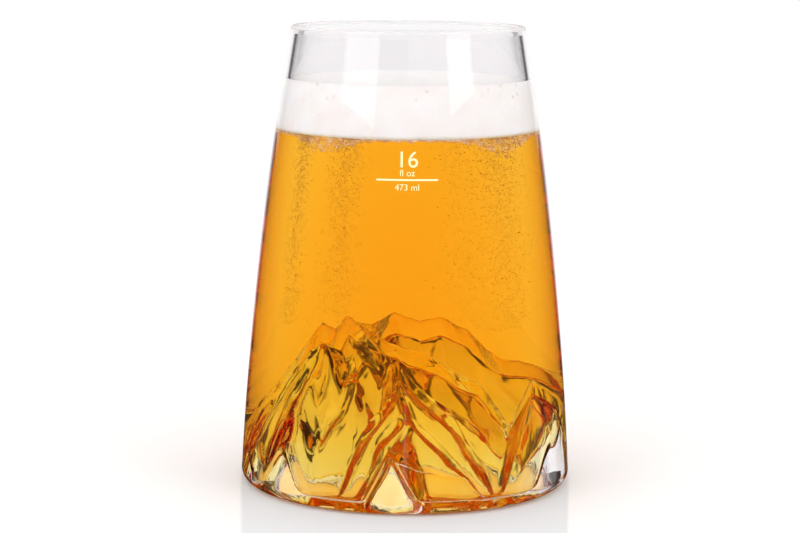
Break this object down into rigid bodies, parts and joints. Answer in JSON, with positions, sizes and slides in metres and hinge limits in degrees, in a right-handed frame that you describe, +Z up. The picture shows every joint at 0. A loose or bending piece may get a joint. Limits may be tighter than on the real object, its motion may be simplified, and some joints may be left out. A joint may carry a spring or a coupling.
{
  "type": "beer tumbler",
  "caption": "Tapered clear glass beer tumbler whose hollow floor rises as a mountain relief, filled with amber beer under a white head of foam.",
  "frame": {"origin": "centre of the foot ring, on the table", "axes": "+Z up along the glass's axis, -Y towards the viewer, the side with the print"},
  "size_m": [0.1014, 0.1014, 0.14],
  "materials": {
    "clear_glass": "polished",
    "amber_beer": "polished",
    "white_foam": "matte",
    "cream_print": "satin"
  },
  "bodies": {
    "root": {"glass_wall": "clear_glass", "mountain_floor": "clear_glass", "beer": "amber_beer", "foam_head": "white_foam", "fill_mark": "cream_print"}
  },
  "joints": []
}
